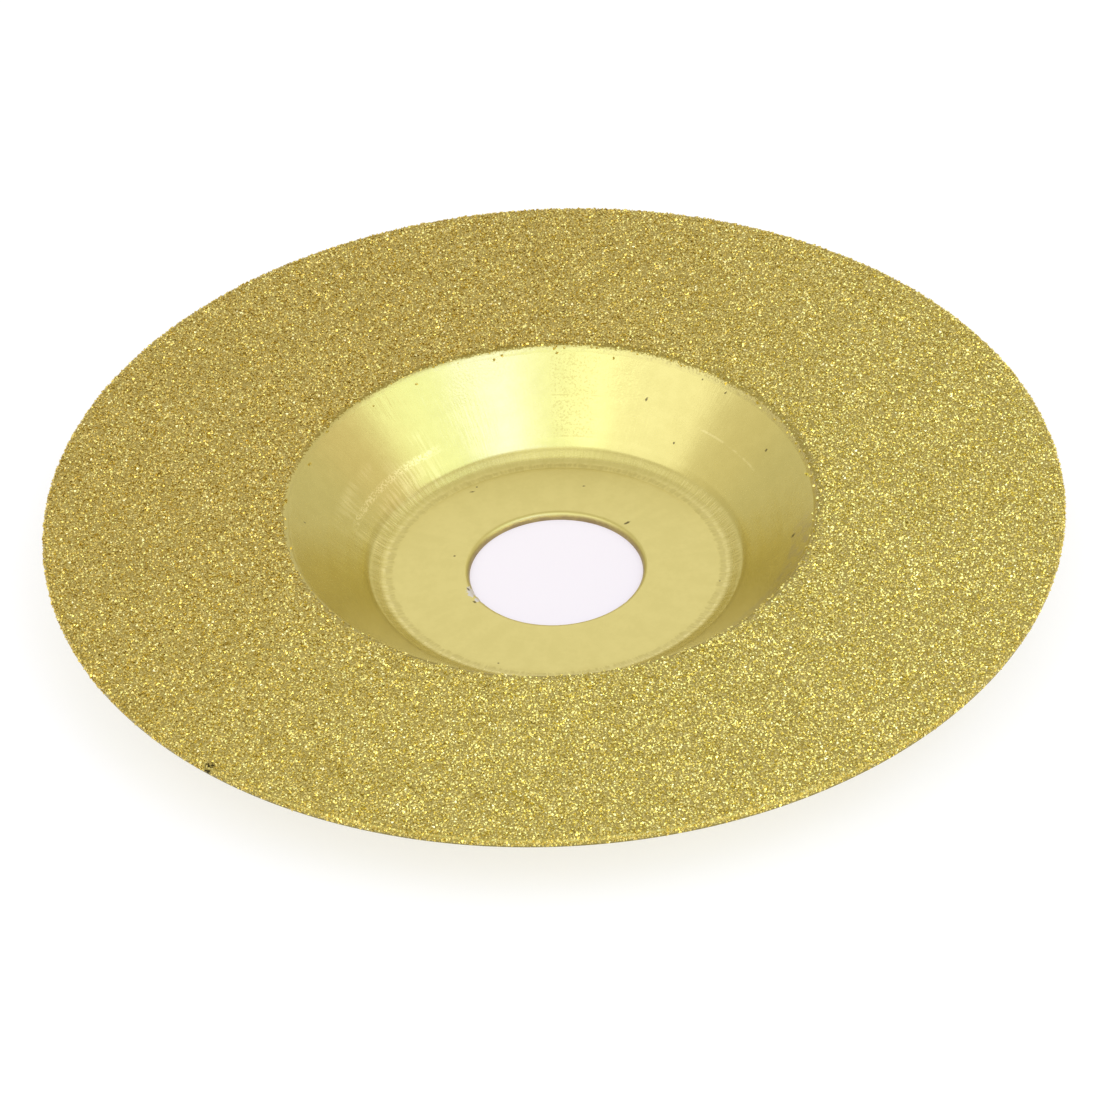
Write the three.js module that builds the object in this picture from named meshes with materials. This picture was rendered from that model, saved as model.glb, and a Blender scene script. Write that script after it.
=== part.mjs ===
// Diamond grinding disc: a dished sheet-steel wheel whose flat ring and rim carry plated diamond.
// Millimetres. Z is the spin axis. Z = 0 is the back of the hub, and +Z is the abrasive side.
import * as THREE from 'three';

// Overall sizes.
const DISC_RADIUS = 50;
const BORE_RADIUS = 8.55;
const SHEET = 0.8;
const RING_RISE = 7.9; // from the hub's front face up to the ring's front face, on the steel

// The two bends of the pressing, measured on the front face.
const HUB_FLAT_RADIUS = 16.45;
const FOLD_BEND = 2.7;
const RING_FLAT_RADIUS = 26.9;
const SHOULDER_BEND = 1.8;

// Punched and rolled edges.
const BORE_ROLLOVER = 0.6;
const BORE_BACK_EDGE = 0.08;
const RIM_FRONT_EDGE = 0.3;
const RIM_BACK_EDGE = 0.15;

// The plated coat: a nickel layer, with the diamond layer standing on it. The nickel also runs
// a little way down the cone.
const BOND = 0.12;
const GRIT = 0.18;
const NICKEL_APRON = 0.6;

// Facets. The grit follows the shoulder down by a whole number of BEND_STEPs.
const TURN_SEGMENTS = 96;
const BEND_STEP = THREE.MathUtils.degToRad(8);
const EDGE_STEP = THREE.MathUtils.degToRad(45);
const SHOULDER_STEPS = 5;
const GRIT_STEPS = 3;
const FOLD_STEPS = 6;
const EDGE_STEPS = 2;

// The cone is the straight line that touches both bends.
const STEEL_RADIUS = DISC_RADIUS - BOND - GRIT;
const bendDistance = Math.hypot(
  RING_FLAT_RADIUS - HUB_FLAT_RADIUS,
  RING_RISE - FOLD_BEND - SHOULDER_BEND,
);
const CONE_ANGLE =
  Math.atan2(RING_RISE - FOLD_BEND - SHOULDER_BEND, RING_FLAT_RADIUS - HUB_FLAT_RADIUS) +
  Math.asin((FOLD_BEND + SHOULDER_BEND) / bendDistance);

const OUT = 0; // directions in the profile, in radians from the outward one
const UP = Math.PI / 2;
const IN = Math.PI;
const DOWN = -Math.PI / 2;

// Points on a circle in the profile, `steps` turns of `step` from the angle `from`.
function arc(centreR, centreZ, radius, from, step, steps) {
  const points = [];
  for (let i = 0; i <= steps; i += 1) {
    const angle = from + i * step;
    const r = centreR + radius * Math.cos(angle);
    const z = centreZ + radius * Math.sin(angle);
    points.push(new THREE.Vector2(r, z));
  }
  return points;
}

// The bend at the cone's foot, on a face that lies `lift` in front of the steel's front face.
function foldBend(lift) {
  const centreZ = SHEET + FOLD_BEND;
  const step = CONE_ANGLE / FOLD_STEPS;
  return arc(HUB_FLAT_RADIUS, centreZ, FOLD_BEND - lift, DOWN, step, FOLD_STEPS);
}

// The bend at the cone's top, from a point `steps` down the cone side up to the flat ring.
function shoulderBend(lift, steps) {
  const centreZ = SHEET + RING_RISE - SHOULDER_BEND;
  const radius = SHOULDER_BEND + lift;
  return arc(RING_FLAT_RADIUS, centreZ, radius, UP, BEND_STEP, steps).reverse();
}

// The whole of that bend, which starts where the cone ends.
function wholeShoulderBend(lift) {
  const centreZ = SHEET + RING_RISE - SHOULDER_BEND;
  const radius = SHOULDER_BEND + lift;
  const coneEnd = arc(RING_FLAT_RADIUS, centreZ, radius, UP + CONE_ANGLE, 0, 0);
  return [...coneEnd, ...shoulderBend(lift, SHOULDER_STEPS)];
}

// What the nickel covers there: the whole bend and the top of the cone.
function nickelShoulder(lift) {
  const bend = wholeShoulderBend(lift);
  const edge = bend[0].clone();
  edge.x -= NICKEL_APRON * Math.cos(CONE_ANGLE);
  edge.y -= NICKEL_APRON * Math.sin(CONE_ANGLE);
  return [edge, ...bend];
}

// What the grit covers there: the top of the bend.
function gritShoulder(lift) {
  return shoulderBend(lift, GRIT_STEPS);
}

// The rounded front corner of the rim, from the ring's face to the rim's side.
function rimFront(lift) {
  const centreR = STEEL_RADIUS - RIM_FRONT_EDGE;
  const centreZ = SHEET + RING_RISE - RIM_FRONT_EDGE;
  return arc(centreR, centreZ, RIM_FRONT_EDGE + lift, UP, -EDGE_STEP, EDGE_STEPS);
}

// The rim's back corner and the bore's two corners, all on bare steel.
function rimBack() {
  const centreR = STEEL_RADIUS - RIM_BACK_EDGE;
  const centreZ = RING_RISE + RIM_BACK_EDGE;
  return arc(centreR, centreZ, RIM_BACK_EDGE, OUT, -EDGE_STEP, EDGE_STEPS);
}

function boreBack() {
  const centreR = BORE_RADIUS + BORE_BACK_EDGE;
  return arc(centreR, BORE_BACK_EDGE, BORE_BACK_EDGE, DOWN, -EDGE_STEP, EDGE_STEPS);
}

function boreFront() {
  const centreR = BORE_RADIUS + BORE_ROLLOVER;
  const centreZ = SHEET - BORE_ROLLOVER;
  return arc(centreR, centreZ, BORE_ROLLOVER, IN, -EDGE_STEP, EDGE_STEPS);
}

// A closed profile turned about Z.
function turned(profile) {
  const closed = [...profile, profile[0].clone()];
  const geometry = new THREE.LatheGeometry(closed, TURN_SEGMENTS);
  geometry.rotateX(Math.PI / 2);
  return geometry;
}

function part(name, geometry, color, roughness, metalness) {
  const material = new THREE.MeshStandardMaterial({ color, roughness, metalness });
  const mesh = new THREE.Mesh(geometry, material);
  mesh.name = name;
  return mesh;
}

// The pressing: hub with its bore, cone and flat ring, one sheet thick everywhere.
function steelBody() {
  const front = [...boreFront(), ...foldBend(0), ...wholeShoulderBend(0), ...rimFront(0)];
  const back = [...foldBend(-SHEET), ...wholeShoulderBend(-SHEET)].reverse();
  return turned([...front, ...rimBack(), ...back, ...boreBack()].reverse());
}

// A coat over the shoulder, the ring and the rim, between two heights above the steel.
function coat(inner, outer, shoulder) {
  const rimFoot = RING_RISE + RIM_BACK_EDGE;
  const inside = [...shoulder(inner), ...rimFront(inner)];
  const outside = [...shoulder(outer), ...rimFront(outer)];
  inside.push(new THREE.Vector2(STEEL_RADIUS + inner, rimFoot));
  outside.push(new THREE.Vector2(STEEL_RADIUS + outer, rimFoot));
  return turned([...outside, ...inside.reverse()].reverse());
}

const disc = new THREE.Group();
disc.name = 'diamond_grinding_disc';
disc.add(part('steel_body', steelBody(), 0xd0c172, 0.42, 0.9));
disc.add(part('nickel_bond', coat(0, BOND, nickelShoulder), 0xb5a874, 0.5, 0.85));
disc.add(part('diamond_grit', coat(BOND, BOND + GRIT, gritShoulder), 0xc2b05e, 0.55, 0.6));

export default disc;
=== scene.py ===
"""Looks for the dished diamond grinding disc.

Gold-tone pressed steel, a plated nickel layer and separate grit grains.
"""

import math
from types import SimpleNamespace

import bpy
import numpy as np
from mathutils import Matrix, Vector


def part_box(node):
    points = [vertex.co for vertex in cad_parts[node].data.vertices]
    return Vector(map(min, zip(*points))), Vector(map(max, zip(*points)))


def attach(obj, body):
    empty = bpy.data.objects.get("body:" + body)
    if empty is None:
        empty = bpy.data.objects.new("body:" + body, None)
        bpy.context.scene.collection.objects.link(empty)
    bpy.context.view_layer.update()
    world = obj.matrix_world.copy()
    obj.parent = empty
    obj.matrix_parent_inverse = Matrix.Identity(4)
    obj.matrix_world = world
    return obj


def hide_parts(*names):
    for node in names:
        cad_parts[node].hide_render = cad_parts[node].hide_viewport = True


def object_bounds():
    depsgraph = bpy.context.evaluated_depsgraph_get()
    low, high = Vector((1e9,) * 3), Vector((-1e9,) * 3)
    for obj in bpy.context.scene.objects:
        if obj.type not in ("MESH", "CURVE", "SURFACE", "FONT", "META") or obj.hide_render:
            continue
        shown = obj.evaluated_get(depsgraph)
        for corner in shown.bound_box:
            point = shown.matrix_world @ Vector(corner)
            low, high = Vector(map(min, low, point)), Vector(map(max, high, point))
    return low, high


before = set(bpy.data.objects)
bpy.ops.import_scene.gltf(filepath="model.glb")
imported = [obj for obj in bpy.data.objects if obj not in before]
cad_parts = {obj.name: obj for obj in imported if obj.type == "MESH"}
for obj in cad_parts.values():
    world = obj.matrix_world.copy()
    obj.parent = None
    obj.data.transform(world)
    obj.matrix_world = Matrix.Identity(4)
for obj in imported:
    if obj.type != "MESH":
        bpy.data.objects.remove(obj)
cad_lo, cad_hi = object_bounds()

# Everything is in metres. Heights and outer radii come from the CAD boxes.
MM = 0.001
_, steel_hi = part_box("steel_body")
_, bond_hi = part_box("nickel_bond")
_, grit_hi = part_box("diamond_grit")
STEEL_RADIUS = steel_hi.x
RING_TOP = steel_hi.z
BOND = bond_hi.z - steel_hi.z
GRIT = grit_hi.z - bond_hi.z

# The pressing's own sizes, as in the CAD.
SHEET = 0.8 * MM
BORE_RADIUS = 8.55 * MM
BORE_ROLLOVER = 0.6 * MM
BORE_BACK_EDGE = 0.08 * MM
HUB_FLAT_RADIUS = 16.45 * MM
FOLD_BEND = 2.7 * MM
RING_FLAT_RADIUS = 26.9 * MM
SHOULDER_BEND = 1.8 * MM
RIM_FRONT_EDGE = 0.3 * MM
RIM_BACK_EDGE = 0.15 * MM
RIM_FOOT = RING_TOP - SHEET + RIM_BACK_EDGE
NICKEL_APRON = 0.6 * MM
RISE = RING_TOP - SHEET - FOLD_BEND - SHOULDER_BEND
REACH = RING_FLAT_RADIUS - HUB_FLAT_RADIUS
CONE_ANGLE = math.atan2(RISE, REACH) + math.asin(
    (FOLD_BEND + SHOULDER_BEND) / math.hypot(REACH, RISE)
)

# The sloping band between the fold's two tight bends. The CAD has one bend there.
BAND_RADIUS = 17.1 * MM
BAND_ANGLE = math.radians(32)
BAND_BEND = 1.8 * MM

# The rings that the press tool leaves: radius, width and height in millimetres.
FORMING_RIDGES = (
    (16.10, 0.16, -0.014),
    (18.60, 0.32, -0.020),
    (19.30, 0.40, 0.012),
    (20.60, 0.40, 0.010),
    (22.40, 0.30, 0.010),
)

# Knocks on the bore's front edge: direction in degrees, reach and depth in millimetres.
# Nothing below the floor moves.
BORE_DENTS = ((-159, 0.45, 0.16), (-150, 0.30, 0.10), (-40, 0.22, 0.07))
DENT_FLOOR = 0.3 * MM

# How finely the pieces are divided. The hub's last part and the cone's first are finer.
STEEL_TURNS = 480
NICKEL_TURNS = 600
SECTORS = 6
FINE_HUB = 0.6 * MM
FINE_CONE_SHARE = 0.25

# The coat's inner edge. Places are distances along the coat's line from the nickel's foot, and
# the grains keep clear of the line's two ends.
LINE_START = 0.1 * MM
LINE_END_GAP = 0.12 * MM
GRIT_START = 1.27 * MM
MASK_SHIFT = 0.28 * MM
FROSTY_TURN = math.radians(-25)
FRINGE = 0.9 * MM
FROSTY_FRINGE = 0.4 * MM
LEAST_FROST = 0.15
GRIT_SOFTNESS = 0.8 * MM
FROSTY_SOFTNESS = 0.9 * MM
GRIT_WANDER = 0.06 * MM
STRAY_CHANCE = 0.04
EDGE_POWER = 1.5

# The nickel: how far its edge wanders, its lumps, how far under the steel it starts as a share
# of its thickness, and where its hidden back lies.
NICKEL_WANDER = 0.08 * MM
NICKEL_LUMPS = 0.010 * MM
NICKEL_DIP = 0.2
NICKEL_BACK = -0.05 * MM

# The grains: how far they stray from even rows and how large they are, as shares of the pitch,
# how unlike one another they are, and how far they sink or stand, in millimetres.
GRAIN_PITCH = 0.285 * MM
GRAIN_JITTER = 0.35
GRAIN_SIZE = (0.42, 0.74)
GRAIN_STRETCH = (0.7, 1.15)
GRAIN_SKEW = 0.16
GRAIN_SINK = (-0.09, 0.03)

OUT, UP, IN, DOWN = 0.0, math.pi / 2, math.pi, -math.pi / 2
FULL_TURN = 2 * math.pi

rng = np.random.default_rng(7)


# ---------------------------------------------------------------- the profile


def arc(centre_r, centre_z, radius, start, end, steps):
    """Points on a circle in the (r, z) profile, between two angles."""
    angle = np.linspace(start, end, steps + 1)
    r = centre_r + radius * np.cos(angle)
    z = centre_z + radius * np.sin(angle)
    return np.stack([r, z], axis=1)


def line(start, end, steps):
    """Points between two profile points, without the ends."""
    share = np.linspace(0, 1, steps + 1)[1:-1, None]
    return np.asarray(start) * (1 - share) + np.asarray(end) * share


def shoulder(lift, steps=12):
    """The bend at the top of the cone, on a face that lies `lift` in front of the steel."""
    centre_z = RING_TOP - SHOULDER_BEND
    return arc(RING_FLAT_RADIUS, centre_z, SHOULDER_BEND + lift, UP + CONE_ANGLE, UP, steps)


def rim_front(lift, steps=6):
    """The rounded corner between the ring's face and the rim."""
    centre_r = STEEL_RADIUS - RIM_FRONT_EDGE
    centre_z = RING_TOP - RIM_FRONT_EDGE
    return arc(centre_r, centre_z, RIM_FRONT_EDGE + lift, UP, OUT, steps)


def fold(lift, steps=14):
    """The bend at the foot of the cone, as one curve."""
    centre_z = SHEET + FOLD_BEND
    return arc(HUB_FLAT_RADIUS, centre_z, FOLD_BEND - lift, DOWN, DOWN + CONE_ANGLE, steps)


def stepped_fold(steps=6, band_steps=8):
    """The front of that bend as the press leaves it: two tight bends and a sloping band between."""
    corner = HUB_FLAT_RADIUS + FOLD_BEND * math.tan(CONE_ANGLE / 2)
    rise, steep = math.tan(BAND_ANGLE), math.tan(CONE_ANGLE)
    end_r = (steep * corner - rise * BAND_RADIUS) / (steep - rise)
    end_z = SHEET + (end_r - BAND_RADIUS) * rise
    lower_cut = BAND_BEND * math.tan(BAND_ANGLE / 2)
    upper_cut = BAND_BEND * math.tan((CONE_ANGLE - BAND_ANGLE) / 2)
    lower_r, lower_z = BAND_RADIUS - lower_cut, SHEET + BAND_BEND
    lower = arc(lower_r, lower_z, BAND_BEND, DOWN, DOWN + BAND_ANGLE, steps)
    first_r = end_r - upper_cut * math.cos(BAND_ANGLE)
    first_z = end_z - upper_cut * math.sin(BAND_ANGLE)
    upper_r = first_r - BAND_BEND * math.sin(BAND_ANGLE)
    upper_z = first_z + BAND_BEND * math.cos(BAND_ANGLE)
    upper = arc(upper_r, upper_z, BAND_BEND, DOWN + BAND_ANGLE, DOWN + CONE_ANGLE, steps)
    return np.concatenate([lower, line(lower[-1], upper[0], band_steps), upper])


def bore_edges():
    """The bore's rolled front edge and its small back edge."""
    front_z = SHEET - BORE_ROLLOVER
    front = arc(BORE_RADIUS + BORE_ROLLOVER, front_z, BORE_ROLLOVER, IN, UP, steps=9)
    back_r = BORE_RADIUS + BORE_BACK_EDGE
    back = arc(back_r, BORE_BACK_EDGE, BORE_BACK_EDGE, DOWN, -IN, steps=3)
    return front, back


def steel_profile():
    """The closed section of the pressing, from the bore outwards and back underneath."""
    bore_front, bore_back = bore_edges()
    hub_edge = [HUB_FLAT_RADIUS - FINE_HUB, SHEET]
    front_fold, front_shoulder, front_rim = stepped_fold(), shoulder(0), rim_front(0, steps=3)
    cone_start = front_fold[-1]
    fine_end = cone_start + (front_shoulder[0] - cone_start) * FINE_CONE_SHARE
    rim_back_r = STEEL_RADIUS - RIM_BACK_EDGE
    rim_back = arc(rim_back_r, RIM_FOOT, RIM_BACK_EDGE, OUT, DOWN, steps=4)
    back_shoulder, back_fold = shoulder(-SHEET)[::-1], fold(-SHEET)[::-1]
    parts = [
        bore_front,
        line(bore_front[-1], hub_edge, steps=20),
        [hub_edge],
        line(hub_edge, front_fold[0], steps=8),
        front_fold,
        line(cone_start, fine_end, steps=28),
        [fine_end],
        line(fine_end, front_shoulder[0], steps=30),
        front_shoulder,
        line(front_shoulder[-1], front_rim[0], steps=8),
        front_rim,
        rim_back,
        line(rim_back[-1], back_shoulder[0], steps=12),
        back_shoulder,
        line(back_shoulder[-1], back_fold[0], steps=12),
        back_fold,
        line(back_fold[-1], bore_back[0], steps=8),
        bore_back,
    ]
    return np.concatenate(parts)


def forming_ridges(profile):
    """Moves the front by hundredths of a millimetre."""
    r = profile[:, 0]
    front = np.arange(len(r)) < np.argmax(r)
    lift = np.zeros(len(r))
    for radius, width, height in FORMING_RIDGES:
        lift += height * MM * np.exp(-(((r / MM - radius) / width) ** 2))
    raised = profile.copy()
    raised[:, 1] += lift * front
    return raised


# ---------------------------------------------------------------- mesh tools


def new_piece(name, vertices, faces, material, smooth):
    """A mesh object from arrays. Its faces all have the same number of corners."""
    mesh = bpy.data.meshes.new(name)
    corners = faces.shape[1]
    mesh.vertices.add(len(vertices))
    mesh.vertices.foreach_set("co", np.ascontiguousarray(vertices, np.float32).ravel())
    mesh.loops.add(faces.size)
    mesh.loops.foreach_set("vertex_index", np.ascontiguousarray(faces, np.int32).ravel())
    mesh.polygons.add(len(faces))
    mesh.polygons.foreach_set("loop_start", np.arange(0, faces.size, corners, dtype=np.int32))
    mesh.polygons.foreach_set("use_smooth", np.full(len(faces), smooth))
    mesh.update(calc_edges=True)
    mesh.validate()
    mesh.materials.append(material)
    piece = bpy.data.objects.new(name, mesh)
    bpy.context.collection.objects.link(piece)
    return piece


def give_values(piece, name, values):
    """Stores one number at each vertex, for the material to read."""
    attribute = piece.data.attributes.new(name, "FLOAT", "POINT")
    attribute.data.foreach_set("value", np.ascontiguousarray(values, np.float32).ravel())


def revolve(sections):
    """Closed (r, z) sections, one for each turning angle, joined into vertices and faces."""
    turns, n = sections.shape[:2]
    turn = np.arange(turns) * (FULL_TURN / turns)
    r, z = sections[:, :, 0], sections[:, :, 1]
    x = r * np.cos(turn)[:, None]
    y = r * np.sin(turn)[:, None]
    vertices = np.stack([x, y, z], axis=2).reshape(-1, 3)
    i, j = np.meshgrid(np.arange(turns), np.arange(n), indexing="ij")
    i2, j2 = (i + 1) % turns, (j + 1) % n
    faces = np.stack([i2 * n + j, i2 * n + j2, i * n + j2, i * n + j], axis=2)
    return vertices, faces.reshape(-1, 4)


def ring_waves(turn, height):
    """A smooth random function of the angle round the disc, which closes on itself."""
    waves = (3, 5, 8, 13, 21, 34, 55, 89)
    value = np.zeros_like(turn)
    for n in waves:
        value += rng.normal() * np.cos(n * turn + rng.uniform(0, FULL_TURN))
    return value * height / math.sqrt(len(waves))


def along(points):
    """The distance travelled along a line of points."""
    steps = np.linalg.norm(np.diff(points, axis=0), axis=1)
    return np.concatenate([[0], np.cumsum(steps)])


# ---------------------------------------------------------------- the pressing


def dent_bore(vertices):
    """Dents the bore's front edge where a tool has knocked it."""
    for turn, reach, depth in BORE_DENTS:
        angle = math.radians(turn)
        centre = BORE_RADIUS * np.array([math.cos(angle), math.sin(angle)])
        away = np.linalg.norm(vertices[:, :2] - centre, axis=1) / (reach * MM)
        front = vertices[:, 2] > DENT_FLOOR
        vertices[:, 2] -= depth * MM * np.exp(-(away**2)) * front
    return vertices


def pressed_steel(material):
    profile = forming_ridges(steel_profile())
    sections = np.broadcast_to(profile, (STEEL_TURNS, *profile.shape))
    vertices, faces = revolve(sections)
    return new_piece("pressed_steel_disc", dent_bore(vertices), faces, material, True)


# ---------------------------------------------------------------- the coat


def coat_path(lift, ring_steps=90):
    """The coat's line up the cone, over the shoulder and the ring, and down the rim.

    Gives its points and their normals.
    """
    bend, rim = shoulder(lift, steps=14), rim_front(lift)
    slope = np.array([math.cos(CONE_ANGLE), math.sin(CONE_ANGLE)])
    apron = bend[0] - np.linspace(NICKEL_APRON, 0, 7)[:-1, None] * slope
    foot = np.array([[STEEL_RADIUS + lift, RIM_FOOT]])
    points = np.concatenate([apron, bend, line(bend[-1], rim[0], ring_steps), rim, foot])
    step = np.gradient(points, axis=0)
    normal = np.stack([-step[:, 1], step[:, 0]], axis=1)
    return points, normal / np.linalg.norm(normal, axis=1)[:, None]


def grit_edge(turn):
    """Where the grit starts. The plating mask sat off centre, towards -X."""
    return GRIT_START - MASK_SHIFT * np.cos(turn)


def frosty_side(turn):
    """1 towards +X and a little towards -Y, where the nickel plated unevenly, and 0 opposite."""
    return (0.5 + 0.5 * np.cos(turn - FROSTY_TURN)) ** 2


def nickel_fringe(turn, line_places):
    """How much nickel there is at each place: 0 short of its wandering edge, and 1 at the grit."""
    edge = grit_edge(turn) + ring_waves(turn, NICKEL_WANDER)
    width = FRINGE + FROSTY_FRINGE * frosty_side(turn)
    start = np.maximum(edge - width, LINE_START)
    return np.clip((line_places[None] - start[:, None]) / (edge - start)[:, None], 0, 1)


def nickel_layer(material):
    """A closed skin whose front is lumpy, and which thins out to nothing at its inner edge."""
    outer, normal = coat_path(BOND)
    inner, _ = coat_path(NICKEL_BACK, ring_steps=12)
    under, _ = coat_path(0)
    turn = np.arange(NICKEL_TURNS) * (FULL_TURN / NICKEL_TURNS)
    lumps = rng.normal(size=(NICKEL_TURNS, len(outer))) * NICKEL_LUMPS
    lumps[:, :2] = 0
    lumps[:, -2:] = 0
    shown = outer[None] + lumps[:, :, None] * normal[None]
    fringe = nickel_fringe(turn, along(outer))
    thickness = ((1 + NICKEL_DIP) * fringe - NICKEL_DIP)[:, :, None]
    shown = under[None] * (1 - thickness) + shown * thickness
    back = np.broadcast_to(inner[::-1], (NICKEL_TURNS, len(inner), 2))
    vertices, faces = revolve(np.concatenate([shown, back], axis=1))
    piece = new_piece("nickel_layer", vertices, faces, material, True)
    hidden = np.ones(back.shape[:2])
    frost = fringe * (LEAST_FROST + (1 - LEAST_FROST) * frosty_side(turn))[:, None]
    give_values(piece, "fringe", np.concatenate([fringe, hidden], axis=1))
    give_values(piece, "frost", np.concatenate([frost, hidden], axis=1))
    return piece


OCTAHEDRON = np.array([[1, 0, 0], [-1, 0, 0], [0, 1, 0], [0, -1, 0], [0, 0, 1], [0, 0, -1]], float)
OCTAHEDRON_FACES = np.array(
    [[0, 2, 4], [2, 1, 4], [1, 3, 4], [3, 0, 4], [2, 0, 5], [1, 2, 5], [3, 1, 5], [0, 3, 5]]
)


def random_turns(count):
    """Random rotations, as matrices."""
    q = rng.normal(size=(count, 4))
    q /= np.linalg.norm(q, axis=1)[:, None]
    w, x, y, z = q.T
    rows = [
        [1 - 2 * (y * y + z * z), 2 * (x * y - z * w), 2 * (x * z + y * w)],
        [2 * (x * y + z * w), 1 - 2 * (x * x + z * z), 2 * (y * z - x * w)],
        [2 * (x * z - y * w), 2 * (y * z + x * w), 1 - 2 * (x * x + y * y)],
    ]
    return np.array(rows).transpose(2, 0, 1)


def grain_places():
    """Where each grain sits: its distance along the coat's line and its angle round the disc."""
    path, _ = coat_path(BOND)
    s = along(path)
    row_pitch = GRAIN_PITCH * math.sqrt(3) / 2
    places = []
    for row in np.arange(LINE_START, s[-1], row_pitch):
        radius = np.interp(row, s, path[:, 0])
        count = int(FULL_TURN * radius / GRAIN_PITCH)
        stray = rng.uniform(-GRAIN_JITTER, GRAIN_JITTER, count)
        turn = (np.arange(count) + stray) * (FULL_TURN / count)
        turn += rng.uniform(0, FULL_TURN)
        here = row + rng.uniform(-GRAIN_JITTER, GRAIN_JITTER, count) * row_pitch
        places.append(np.stack([here, turn % FULL_TURN], axis=1))
    places = np.concatenate(places)
    # The inner edge is ragged, with a few stray grains down the cone.
    here, turn = places.T
    edge = grit_edge(turn) + ring_waves(turn, GRIT_WANDER)
    softness = GRIT_SOFTNESS + FROSTY_SOFTNESS * frosty_side(turn)
    chance = np.clip((here - edge) / softness + 0.5, STRAY_CHANCE, 1) ** EDGE_POWER
    keep = rng.uniform(size=len(places)) < chance
    keep &= (here > LINE_START) & (here < s[-1] - LINE_END_GAP)
    return places[keep]


def grain_seats(places):
    """The middle of each grain's seat, and three directions: round the disc, across it and out."""
    path, normals = coat_path(BOND)
    s = along(path)
    here, turn = places.T
    r, z = np.interp(here, s, path[:, 0]), np.interp(here, s, path[:, 1])
    nr, nz = np.interp(here, s, normals[:, 0]), np.interp(here, s, normals[:, 1])
    size = np.hypot(nr, nz)
    nr, nz = nr / size, nz / size
    cos, sin = np.cos(turn), np.sin(turn)
    centre = np.stack([r * cos, r * sin, z], axis=1)
    normal = np.stack([nr * cos, nr * sin, nz], axis=1)
    around = np.stack([-sin, cos, np.zeros(len(turn))], axis=1)
    return centre, around, np.cross(around, normal), normal


def grain_shapes():
    """Every grain's vertices, tone and angle round the disc.

    A grain is an irregular octahedron, stretched, turned at random and half sunk.
    """
    places = grain_places()
    count = len(places)
    centre, around, across, normal = grain_seats(places)
    scale = GRAIN_PITCH * rng.uniform(*GRAIN_SIZE, (count, 1, 1))
    shape = OCTAHEDRON[None] * rng.uniform(*GRAIN_STRETCH, (count, 6, 1))
    shape = shape + rng.normal(size=(count, 6, 3)) * GRAIN_SKEW
    shape = np.einsum("gij,gvj->gvi", random_turns(count), shape) * scale
    sink = rng.uniform(*GRAIN_SINK, (count, 1)) * MM
    height = np.minimum(shape[:, :, 2] + sink, GRIT)
    local = (
        shape[:, :, 0, None] * around[:, None]
        + shape[:, :, 1, None] * across[:, None]
        + height[:, :, None] * normal[:, None]
    )
    vertices = centre[:, None] + local
    vertices[:, :, 2] = np.minimum(vertices[:, :, 2], cad_hi.z)
    return vertices, rng.uniform(size=count), places[:, 1]


def diamond_grains(material):
    """The grains, as one piece for each sector of the disc."""
    vertices, tone, turn = grain_shapes()
    sector = (turn * SECTORS / FULL_TURN).astype(int)
    pieces = []
    for k in range(SECTORS):
        mine = sector == k
        shapes = vertices[mine]
        faces = OCTAHEDRON_FACES[None] + 6 * np.arange(len(shapes))[:, None, None]
        name = f"diamond_grains_{k + 1}"
        piece = new_piece(name, shapes.reshape(-1, 3), faces.reshape(-1, 3), material, False)
        give_values(piece, "grain_tone", np.repeat(tone[mine], 6))
        pieces.append(piece)
    return pieces


# ---------------------------------------------------------------- materials


OVAL_DEPTH = 2 * MM


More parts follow.
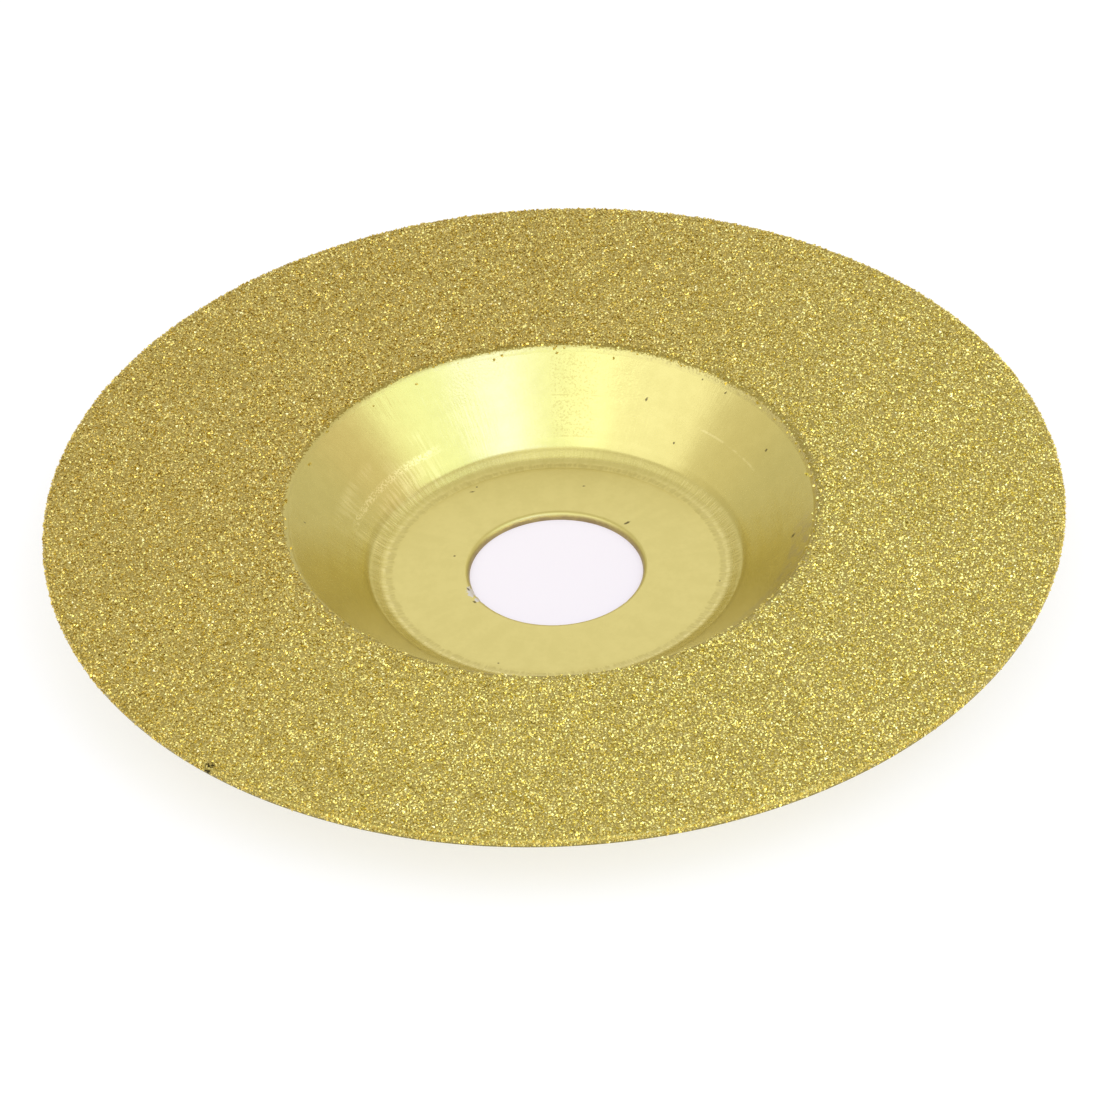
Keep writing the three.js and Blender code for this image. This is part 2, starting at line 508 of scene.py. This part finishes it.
class Nodes:
    """Short calls for building one material's node tree."""

    def __init__(self, name):
        self.material = bpy.data.materials.new(name)
        self.material.use_nodes = True
        self.tree = self.material.node_tree
        self.shader = self.tree.nodes["Principled BSDF"]

    def node(self, kind, **settings):
        node = self.tree.nodes.new(kind)
        for key, value in settings.items():
            setattr(node, key, value)
        return node

    def link(self, source, target):
        """Joins another node's output to an input, or sets the input to a plain value."""
        if hasattr(source, "is_output"):
            self.tree.links.new(source, target)
        else:
            target.default_value = source

    def fill(self, node, values):
        for value, socket in zip(values, node.inputs, strict=False):
            self.link(value, socket)
        return node.outputs[0]

    def math(self, operation, *values, clamp=False):
        return self.fill(self.node("ShaderNodeMath", operation=operation, use_clamp=clamp), values)

    def times(self, first, second):
        return self.math("MULTIPLY", first, second)

    def plus(self, first, second):
        return self.math("ADD", first, second)

    def span(self, value, low, high, to_low=0.0, to_high=1.0):
        """A smooth ramp from one value to another, level outside."""
        node = self.node("ShaderNodeMapRange", interpolation_type="SMOOTHSTEP")
        return self.fill(node, (value, low, high, to_low, to_high))

    def mix(self, factor, first, second):
        node = self.node("ShaderNodeMix", data_type="RGBA")
        self.link(factor, node.inputs["Factor"])
        self.link(first, node.inputs["A"])
        self.link(second, node.inputs["B"])
        return node.outputs["Result"]

    def noise(self, vector, scale, detail=2.0, roughness=0.5):
        node = self.node("ShaderNodeTexNoise")
        self.link(vector, node.inputs["Vector"])
        node.inputs["Scale"].default_value = scale
        node.inputs["Detail"].default_value = detail
        node.inputs["Roughness"].default_value = roughness
        return node.outputs["Fac"]

    def place(self):
        return self.node("ShaderNodeTexCoord").outputs["Object"]

    def vector(self, x, y, z):
        return self.fill(self.node("ShaderNodeCombineXYZ"), (x, y, z))

    def polar(self):
        """A point's radius, its direction from the axis as a cosine and a sine, and its height."""
        split = self.node("ShaderNodeSeparateXYZ")
        self.link(self.place(), split.inputs[0])
        x, y, z = split.outputs
        radius = self.math("SQRT", self.plus(self.times(x, x), self.times(y, y)))
        cos, sin = self.math("DIVIDE", x, radius), self.math("DIVIDE", y, radius)
        return SimpleNamespace(radius=radius, cos=cos, sin=sin, height=z)

    def attribute(self, name):
        return self.node("ShaderNodeAttribute", attribute_name=name).outputs["Fac"]

    def bump(self, height, distance, strength=1.0, normal=None):
        node = self.node("ShaderNodeBump")
        node.inputs["Strength"].default_value = strength
        node.inputs["Distance"].default_value = distance
        self.link(height, node.inputs["Height"])
        if normal is not None:
            self.link(normal, node.inputs["Normal"])
        return node.outputs[0]

    def oval(self, radius, turn, height, length, width, lean=0):
        """How far a place is from a point of the disc, in millimetres and degrees.

        0 is at the point, and 1 is on an oval of that length and width round it.
        """
        angle = math.radians(turn)
        node = self.node("ShaderNodeMapping", vector_type="TEXTURE")
        self.link(self.place(), node.inputs["Vector"])
        x, y = radius * math.cos(angle), radius * math.sin(angle)
        node.inputs["Location"].default_value = (x * MM, y * MM, height * MM)
        node.inputs["Rotation"].default_value = (0, 0, math.radians(lean))
        node.inputs["Scale"].default_value = (length * MM / 2, width * MM / 2, OVAL_DEPTH)
        size = self.node("ShaderNodeVectorMath", operation="LENGTH")
        self.link(node.outputs[0], size.inputs[0])
        return size.outputs["Value"]

    def finished(self, tint, rough, normal):
        """Makes it a metal with this colour, roughness and relief, and gives the material."""
        self.shader.inputs["Metallic"].default_value = 1.0
        self.link(tint, self.shader.inputs["Base Color"])
        self.link(rough, self.shader.inputs["Roughness"])
        self.link(normal, self.shader.inputs["Normal"])
        return self.material


def colour(r, g, b):
    return (r, g, b, 1.0)


GOLD = colour(0.625, 0.540, 0.193)
GOLD_LIGHT = colour(0.655, 0.568, 0.208)
# A pale gold for rubs and scratches, which is also a painted highlight on the fold and the left
# wall.
RUBBED_AND_HIGHLIGHT_GOLD = colour(0.86, 0.76, 0.36)
# A dark gold: painted shade in the fold, and the dark specks in the frosted nickel.
SHADE_AND_SPECK_GOLD = colour(0.40, 0.33, 0.09)
# A darker gold: a painted reflection band on the far wall, and two thin lines there.
DARK_REFLECTION_AND_LINE_GOLD = colour(0.52, 0.40, 0.13)
SMEAR_GREY = colour(0.47, 0.41, 0.36)
# The bore's burr colour, darkened further as painted shade.
BURR_AND_SHADE_BROWN = colour(0.34, 0.26, 0.13)
BARE_STEEL = colour(0.70, 0.66, 0.63)
NICK_BROWN = colour(0.10, 0.075, 0.03)
FROSTED = colour(0.63, 0.53, 0.27)

# The coat's colours, darkest and lightest, on its dim side and on its lit side. The side towards +X
# and -Y is painted lighter, which is painted light. They were tuned until the render's mean colours
# met the photo's, so they are partly the photo's light. The nickel's colours are also painted shade
# between the grains.
NICKEL_CREVICE_SHADE_DIM_SIDE = colour(0.29, 0.212, 0.047), colour(0.365, 0.278, 0.066)
NICKEL_CREVICE_SHADE_LIT_SIDE = colour(0.335, 0.27, 0.068), colour(0.435, 0.352, 0.096)
GRIT_DIM_SIDE = colour(0.455, 0.335, 0.074), colour(0.85, 0.69, 0.24)
GRIT_LIT_SIDE = colour(0.545, 0.445, 0.108), colour(1.0, 0.89, 0.34)
RIM_GOLD = colour(0.66, 0.48, 0.10)
KNOCK_BROWN = colour(0.04, 0.03, 0.012)

# Dark specks and nicks from handling: radius, direction, height, length, width and lean, in
# millimetres and degrees. They were measured in the photo and rounded.
DARK_MARKS = (
    (9.75, 42, 0.8, 0.85, 0.34, 35),
    (10.3, 165, 0.8, 0.30, 0.26, 0),
    (15.5, 119, 0.8, 0.26, 0.22, 0),
    (15.1, 122, 0.8, 0.60, 0.22, 10),
    (13.2, 76, 0.8, 0.36, 0.20, 0),
    (16.3, -12, 0.8, 0.26, 0.22, 0),
    (15.5, -113, 0.8, 0.24, 0.22, 0),
    (9.1, -163, 0.8, 0.60, 0.26, 120),
    (9.4, -150, 0.8, 0.50, 0.30, 130),
    (23.5, -9, 6.4, 0.60, 0.40, 50),
    (23.6, 25, 6.5, 0.36, 0.30, 0),
    (22.7, 64, 5.6, 0.40, 0.28, 40),
    (20.2, 52, 3.3, 0.28, 0.24, 0),
    (24.4, 177, 7.2, 0.26, 0.22, 0),
    (25.2, 45, 7.9, 0.30, 0.24, 0),
    (25.4, 52, 8.0, 0.30, 0.24, 0),
)


def dark_marks(n):
    """1 on a dark mark, with a ragged edge."""
    ragged = n.times(n.noise(n.place(), scale=9000.0, detail=1.0), 1.2)
    shown = 0.0
    for mark in DARK_MARKS:
        away = n.plus(n.oval(*mark), ragged)
        shown = n.math("MAXIMUM", n.span(away, 1.0, 1.7, 1.0, 0.0), shown)
    return shown


def near_turn(n, where, turn, half, soft):
    """1 within `half` degrees of a direction from the axis, and 0 from `soft` degrees further on."""
    angle = math.radians(turn)
    facing = n.plus(n.times(where.cos, math.cos(angle)), n.times(where.sin, math.sin(angle)))
    return n.span(facing, math.cos(math.radians(half + soft)), math.cos(math.radians(half)))


def band(n, value, low, high, soft):
    """1 between two values given in millimetres, with a soft edge outside each."""
    low, high, soft = low * MM, high * MM, soft * MM
    return n.times(n.span(value, low - soft, low), n.span(value, high, high + soft, 1.0, 0.0))


def wall_patch(n, where, turn, half, soft, low, high, edge):
    """1 on the cone near a direction and between two heights, in degrees and millimetres."""
    facing = near_turn(n, where, turn, half, soft)
    return n.times(facing, band(n, where.height, low, high, edge))


# ---------------------------------------------------------------- the steel's finish


def streaked(n, where, round_disc, along_radius):
    """A place for a noise that changes at one rate round the disc and at another along a radius."""
    x, y = n.times(where.cos, round_disc), n.times(where.sin, round_disc)
    return n.vector(x, y, n.times(where.radius, along_radius))


def steel_noises(n, where):
    """The noises that several of the steel's marks share. The strokes run up the cone."""
    strokes_place = streaked(n, where, round_disc=75.0, along_radius=450.0)
    return SimpleNamespace(
        strokes=n.noise(strokes_place, scale=1.0, detail=3.0, roughness=0.6),
        patchy=n.noise(n.place(), scale=130.0),
        stipple=n.noise(n.place(), scale=4300.0, roughness=0.6),
        satin=n.noise(n.place(), scale=7000.0, roughness=0.6),
        mottled=n.noise(n.place(), scale=420.0, detail=3.0, roughness=0.6),
        smudged=n.noise(n.place(), scale=900.0, detail=4.0, roughness=0.7),
    )


def steel_relief(n, where, noise, climb, fold_wear_and_highlight):
    """The steel's bumps: strokes, a stipple over some of the cone, faint rings and satin."""
    stroke_share = n.times(climb, n.span(noise.patchy, 0.5, 0.72, to_low=0.06, to_high=0.5))
    strokes = n.times(noise.strokes, n.plus(fold_wear_and_highlight, stroke_share))
    worn = n.noise(n.place(), scale=95.0)
    stipple_share = n.times(n.span(worn, 0.48, 0.66, to_low=0.10, to_high=1.0), climb)
    stipple = n.times(noise.stipple, stipple_share)
    rings_place = streaked(n, where, round_disc=6.0, along_radius=5000.0)
    rings = n.noise(rings_place, scale=1.0, roughness=0.6)
    bump = n.bump(strokes, distance=0.06 * MM)
    bump = n.bump(stipple, distance=0.030 * MM, normal=bump)
    bump = n.bump(rings, distance=0.002 * MM, strength=0.5, normal=bump)
    return n.bump(noise.satin, distance=0.002 * MM, strength=0.6, normal=bump)


def plain_gold(n, noise):
    """The finish where nothing has marked it."""
    uneven = n.plus(n.times(noise.mottled, 0.5), n.times(noise.smudged, 0.5))
    return n.mix(n.span(uneven, 0.38, 0.62), GOLD, GOLD_LIGHT)


def add_rubs_and_highlights(n, where, noise, fold_wear_and_highlight, tint):
    """Pale strokes on the fold and the left wall, partly rub marks and partly a painted highlight,
    and a row of pale dots across that wall.
    """
    wall = wall_patch(n, where, turn=148, half=14, soft=12, low=1.7, high=4.6, edge=0.8)
    wall = n.times(wall, n.span(noise.patchy, 0.38, 0.56))
    pale_rubs_and_highlight = n.plus(n.times(fold_wear_and_highlight, 0.45), n.times(wall, 0.65))
    tint = n.mix(n.times(n.span(noise.strokes, 0.40, 0.62), pale_rubs_and_highlight), tint, RUBBED_AND_HIGHLIGHT_GOLD)
    row = wall_patch(n, where, turn=145, half=16, soft=8, low=3.15, high=3.45, edge=0.2)
    dots = n.span(noise.stipple, 0.46, 0.58)
    return n.mix(n.times(dots, n.times(row, 0.9)), tint, RUBBED_AND_HIGHLIGHT_GOLD)


def add_fold_shade_lines(n, where, noise, sides, tint):
    """A ragged dark line of painted shade where the hub meets the fold, and a fainter one where the
    cone does.
    """
    wander = n.times(n.noise(n.place(), scale=2200.0, detail=4.0, roughness=0.7), 0.9 * MM)
    hub_shade_line = band(n, n.plus(where.radius, wander), low=16.75, high=17.05, soft=0.3)
    hub_shade_line = n.times(hub_shade_line, n.span(noise.strokes, 0.35, 0.6, to_low=0.1, to_high=0.5))
    cone_shade_line = n.times(band(n, where.radius, low=18.50, high=18.70, soft=0.3), 0.28)
    lines = n.math("MAXIMUM", hub_shade_line, n.times(cone_shade_line, sides))
    return n.mix(lines, tint, SHADE_AND_SPECK_GOLD)


def add_dark_reflection_and_marks(n, where, noise, tint):
    """A dotted darker band up the far wall, which is a painted reflection, two thin lines across it,
    and a long thin scratch to its right.
    """
    dark_reflection = wall_patch(n, where, turn=83, half=4.5, soft=2.5, low=2.4, high=8.0, edge=0.2)
    dark_reflection = n.times(n.span(noise.stipple, 0.50, 0.64), dark_reflection)
    lower = band(n, where.height, low=2.36, high=2.40, soft=0.05)
    upper = band(n, where.height, low=5.20, high=5.24, soft=0.05)
    lines = n.times(n.math("MAXIMUM", lower, upper), near_turn(n, where, turn=83, half=5, soft=3))
    lines = n.times(lines, n.span(noise.smudged, 0.4, 0.55))
    tint = n.mix(n.times(n.math("MAXIMUM", dark_reflection, lines), 0.6), tint, DARK_REFLECTION_AND_LINE_GOLD)
    scratch = band(n, where.radius, low=21.90, high=21.98, soft=0.07)
    scratch = n.times(near_turn(n, where, turn=34, half=11, soft=3), scratch)
    scratch = n.times(scratch, n.span(noise.smudged, 0.4, 0.6, to_low=0.0, to_high=0.45))
    return n.mix(scratch, tint, RUBBED_AND_HIGHLIGHT_GOLD)


def add_smear(n, where, noise, tint):
    """A grey smear along the cone's upper edge at the lower right."""
    smear = wall_patch(n, where, turn=-30, half=17, soft=12, low=6.5, high=7.7, edge=0.5)
    smear = n.times(smear, n.span(noise.smudged, 0.40, 0.62, to_low=0.05, to_high=0.55))
    return n.mix(smear, tint, SMEAR_GREY)


def bore_burr_and_shade(n, where, noise):
    """1 on the bore's punched wall, and less up its rolled front edge: a burr, darkened further as
    painted shade.
    """
    wall = n.span(where.radius, BORE_RADIUS, BORE_RADIUS + 0.32 * MM, 1.0, 0.0)
    return n.times(wall, n.span(noise.mottled, 0.35, 0.65, to_low=0.7, to_high=1.0))


def bore_chips(n):
    """1 where the bore's edge is chipped down to bare steel."""
    ragged = n.times(n.plus(n.noise(n.place(), scale=3200.0), -0.5), 1.6)
    large = n.oval(radius=8.95, turn=-160, height=0.7, length=1.5, width=0.9, lean=112)
    small = n.oval(radius=9.0, turn=-151, height=0.7, length=0.6, width=0.45, lean=120)
    away = n.plus(n.math("MINIMUM", large, small), ragged)
    return n.span(away, 0.85, 1.15, 1.0, 0.0)


def gold_steel():
    n = Nodes("gold_steel")
    where = n.polar()
    noise = steel_noises(n, where)
    climb = n.span(where.height, SHEET + 0.02 * MM, SHEET + 0.25 * MM)
    # The fold is worn and lined all round except on the far side. Its pale strokes are partly a
    # painted highlight, and its dark lines are painted shade.
    sides = n.plus(n.times(near_turn(n, where, turn=90, half=25, soft=45), -0.75), 1.0)
    fold_wear_and_highlight = n.times(band(n, where.radius, low=16.7, high=18.0, soft=0.5), sides)
    tint = add_rubs_and_highlights(n, where, noise, fold_wear_and_highlight, plain_gold(n, noise))
    tint = add_fold_shade_lines(n, where, noise, sides, tint)
    tint = add_dark_reflection_and_marks(n, where, noise, tint)
    tint = add_smear(n, where, noise, tint)
    # The bore's wall and rolled edge are painted darker, partly burr and partly shade.
    wall, bare = bore_burr_and_shade(n, where, noise), bore_chips(n)
    tint = n.mix(bare, n.mix(wall, tint, BURR_AND_SHADE_BROWN), BARE_STEEL)
    tint = n.mix(n.times(dark_marks(n), 0.9), tint, NICK_BROWN)
    rough = n.plus(n.span(climb, 0.0, 1.0, to_low=0.31, to_high=0.24), n.times(noise.satin, 0.05))
    rough = n.plus(rough, n.times(n.math("MAXIMUM", wall, bare), 0.2))
    relief = steel_relief(n, where, noise, climb, fold_wear_and_highlight)
    return n.finished(tint, rough, relief)


# ---------------------------------------------------------------- the coat's finish


def coat_tint_with_side_light(n, where, shade, dim_side_pair, lit_side_pair):
    """A coat's colour with painted light: the pair for the side painted lighter goes towards +X and
    -Y, and the pair for the side painted darker opposite.
    """
    lit_side_share = near_turn(n, where, turn=-40, half=0, soft=180)
    return n.mix(lit_side_share, n.mix(shade, *dim_side_pair), n.mix(shade, *lit_side_pair))


def nickel_bond():
    n = Nodes("nickel_bond")
    where = n.polar()
    fringe = n.attribute("fringe")
    lumps = n.noise(n.place(), scale=5200.0, roughness=0.6)
    patches = n.noise(n.place(), scale=300.0, detail=3.0, roughness=0.6)
    dots = n.span(lumps, 0.38, 0.60)
    frost = n.span(n.plus(n.attribute("frost"), n.times(dots, 0.5)), 0.35, 1.1)
    dotted = n.times(n.times(dots, n.span(frost, 0.0, 0.6)), 0.5)
    shown = n.mix(dotted, n.mix(frost, GOLD, FROSTED), SHADE_AND_SPECK_GOLD)
    # Under the grit it is painted darker, as shade between the grains, and lighter towards +X and -Y
    # as painted light; the line between the two is ragged.
    buried = n.plus(fringe, n.times(n.plus(lumps, -0.5), 1.2))
    under = coat_tint_with_side_light(n, where, patches, NICKEL_CREVICE_SHADE_DIM_SIDE, NICKEL_CREVICE_SHADE_LIT_SIDE)
    tint = n.mix(n.span(buried, 0.80, 0.95), shown, under)
    rough = n.span(frost, 0.0, 1.0, to_low=0.28, to_high=0.5)
    lumps = n.times(lumps, n.span(fringe, 0.0, 1.0, to_low=0.1, to_high=1.0))
    return n.finished(tint, rough, n.bump(lumps, distance=0.03 * MM, strength=0.8))


def diamond_grit():
    n = Nodes("diamond_grit")
    where = n.polar()
    tone = n.attribute("grain_tone")
    patches = n.noise(n.place(), scale=220.0, detail=3.0, roughness=0.6)
    fine = n.noise(n.place(), scale=9000.0, detail=1.0)
    shade = n.math("ADD", n.times(tone, 0.7), n.times(patches, 0.3), clamp=True)
    # Painted light: the grit is painted lighter towards +X and -Y.
    tint = coat_tint_with_side_light(n, where, shade, GRIT_DIM_SIDE, GRIT_LIT_SIDE)
    # The outermost grains are a deeper gold, and one place on the rim has been knocked dark.
    outermost = n.span(where.radius, 48.9 * MM, 49.9 * MM, to_low=0.0, to_high=0.4)
    tint = n.mix(outermost, tint, RIM_GOLD)
    knock = n.oval(radius=49.6, turn=-132, height=8.7, length=1.2, width=0.8, lean=48)
    knock = n.span(n.plus(knock, n.times(fine, 0.4)), 1.15, 1.45, to_low=0.97, to_high=0.0)
    tint = n.mix(knock, tint, KNOCK_BROWN)
    rough = n.span(tone, 0.0, 1.0, to_low=0.36, to_high=0.16)
    return n.finished(tint, rough, n.bump(fine, distance=0.008 * MM, strength=0.4))


# ---------------------------------------------------------------- the room

FLOOR_HALF = 3.0
FLOOR_DARK = colour(0.35, 0.34, 0.36)
FLOOR_LIGHT = colour(0.37, 0.36, 0.38)
FLOOR_GLOW = colour(0.65, 0.65, 0.65)
SHADE_GLOW = colour(0.52, 0.47, 0.50)
SHADE_REACH = 30 * MM
LAMP_DISTANCE = 0.8

# The camera, in metres, degrees and, for its lens and sensor, millimetres.
CAMERA_ELEVATION = 38.08
CAMERA_DISTANCE = 600 * MM
CAMERA_AIM = Vector((-0.5 * MM, -7.46 * MM, 0))
CAMERA_ROLL = -2.98
CAMERA_LENS = 201.2
CAMERA_SENSOR = 36
CAMERA_NEAR = 0.01
CAMERA_FAR = 20


def floor():
    """A pale light table: it glows a little, and less in the shade under the disc's middle."""
    n = Nodes("pale_floor")
    grain = n.noise(n.place(), scale=60.0)
    n.link(n.mix(grain, FLOOR_DARK, FLOOR_LIGHT), n.shader.inputs["Base Color"])
    n.link(0.9, n.shader.inputs["Roughness"])
    lit = n.span(n.polar().radius, BORE_RADIUS, SHADE_REACH)
    n.link(n.mix(lit, SHADE_GLOW, FLOOR_GLOW), n.shader.inputs["Emission Color"])
    n.link(1.0, n.shader.inputs["Emission Strength"])
    corners = np.array([[-1, -1, 0], [1, -1, 0], [1, 1, 0], [-1, 1, 0]]) * FLOOR_HALF
    piece = new_piece("studio_floor", corners, np.array([[0, 1, 2, 3]]), n.material, False)


def softbox(name, azimuth, elevation, width, height, tint, distance=LAMP_DISTANCE):
    """A rectangular lamp that faces the disc, whose `tint` is how bright its surface is.

    Azimuth 0 is the camera's side, and grows to the right.
    """
    lamp = bpy.data.lights.new(name, "AREA")
    lamp.shape = "RECTANGLE"
    lamp.size, lamp.size_y = width, height
    brightest = max(tint)
    lamp.energy = brightest * math.pi * width * height
    lamp.color = [part / brightest for part in tint]
    a, e = math.radians(azimuth), math.radians(elevation)
    back = Vector((math.sin(a) * math.cos(e), -math.cos(a) * math.cos(e), math.sin(e)))
    box = bpy.data.objects.new(name, lamp)
    box.location = back * distance
    box.rotation_mode = "QUATERNION"
    box.rotation_quaternion = back.to_track_quat("Z", "Y")
    bpy.context.collection.objects.link(box)


def room_light(*tint):
    world = bpy.data.worlds.new("studio")
    world.use_nodes = True
    back = world.node_tree.nodes["Background"]
    back.inputs["Color"].default_value = colour(*tint)
    bpy.context.scene.world = world


def lamps():
    """The room's light. Its tints were fitted to the photo's mean colours, rounded and adjusted."""
    room_light(0.825, 0.80, 0.69)
    softbox("key", 33, 52, width=0.29, height=0.50, tint=(0.2, 0.2, 1.6))
    softbox("front", 0, 50, width=0.62, height=0.50, tint=(0.68, 0.95, 1.06))
    softbox("front_high", 0, 76, width=0.50, height=0.24, tint=(0.5, 0.58, 0.58))
    softbox("front_left", -58, 44, width=0.66, height=0.60, tint=(0.72, 0.81, 1.02))
    softbox("front_right", 62, 44, width=0.66, height=0.60, tint=(0.64, 0.94, 1.03))
    softbox("left", -100, 36, width=0.40, height=0.50, tint=(0.14, 0.12, 0.11))
    softbox("right", 100, 36, width=0.40, height=0.50, tint=(0.14, 0.06, 0.05))
    softbox("back", 180, 36, width=0.60, height=0.40, tint=(0.40, 0.42, 0.60))
    softbox("back_right", 150, 38, width=0.25, height=0.30, tint=(0.18, 0.165, 0.12))
    # Small low lamps, which make the grains sparkle.
    for side, strength in ((-40, 0.35), (0, 0.7), (30, 0.9), (60, 1.0)):
        tint = (6.3 * strength, 5.9 * strength, 3.1 * strength)
        softbox(f"low_{side}", side, 20, width=0.065, height=0.055, tint=tint, distance=0.27)


def camera():
    """A long lens above the ring's plane, tilted a little about its own axis."""
    elevation = math.radians(CAMERA_ELEVATION)
    centre = Vector((0, 0, grit_hi.z))
    aim = centre + CAMERA_AIM
    data = bpy.data.cameras.new("camera")
    data.sensor_width = CAMERA_SENSOR
    data.lens = CAMERA_LENS
    data.clip_start = CAMERA_NEAR
    data.clip_end = CAMERA_FAR
    eye = bpy.data.objects.new("camera", data)
    towards = Vector((0, -math.cos(elevation), math.sin(elevation)))
    eye.location = centre + CAMERA_DISTANCE * towards
    turn = (aim - eye.location).to_track_quat("-Z", "Y").to_matrix().to_4x4()
    turn = turn @ Matrix.Rotation(math.radians(CAMERA_ROLL), 4, "Z")
    eye.rotation_mode = "QUATERNION"
    eye.rotation_quaternion = turn.to_quaternion()
    bpy.context.collection.objects.link(eye)
    bpy.context.scene.camera = eye


# ---------------------------------------------------------------- build


def place(piece, node):
    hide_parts(node)
    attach(piece, "root")


place(pressed_steel(gold_steel()), "steel_body")
place(nickel_layer(nickel_bond()), "nickel_bond")
for sector_piece in diamond_grains(diamond_grit()):
    place(sector_piece, "diamond_grit")

floor()
lamps()
camera()
bpy.context.scene.view_settings.view_transform = "Standard"
